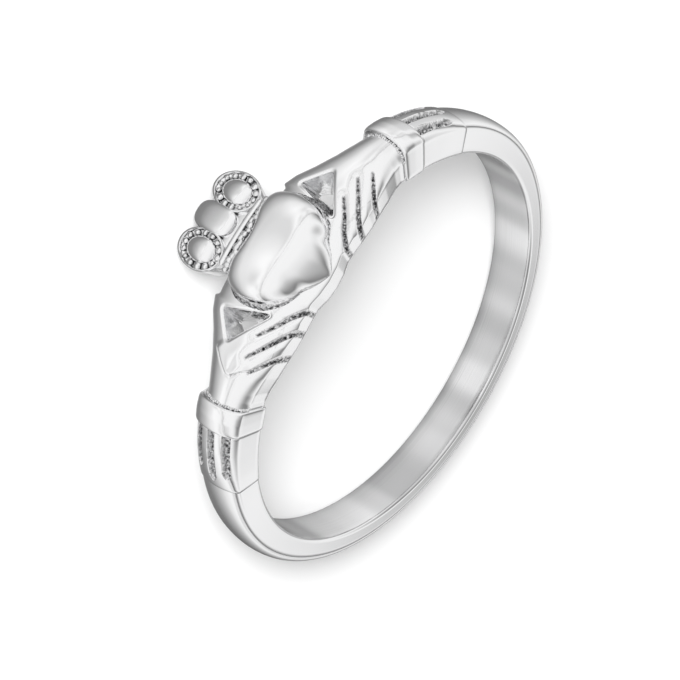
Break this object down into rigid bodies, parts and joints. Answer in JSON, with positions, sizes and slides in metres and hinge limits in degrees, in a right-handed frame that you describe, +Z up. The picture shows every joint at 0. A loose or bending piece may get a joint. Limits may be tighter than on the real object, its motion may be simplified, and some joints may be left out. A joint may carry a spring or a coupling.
{
  "type": "wedding ring",
  "caption": "Cast wedding ring: a plain domed band with fluted cuffs, whose hands hold a raised heart under a crown with beaded lobes.",
  "frame": {"origin": "middle of the bore, on its axis", "axes": "Z is up as the ring lies on its side, tilted on its crown and the back of its band; the heart faces -Y, the back of the band +Y, the hands lie along X; the finger's axis is Z turned by 11.578 degrees about X, with the heart's tip and the fingers' side up"},
  "size_m": [0.02, 0.0208, 0.0067],
  "materials": {
    "polished_silver": "bright polished silver-coloured metal"
  },
  "bodies": {
    "root": {"ring": "polished_silver"}
  },
  "joints": []
}
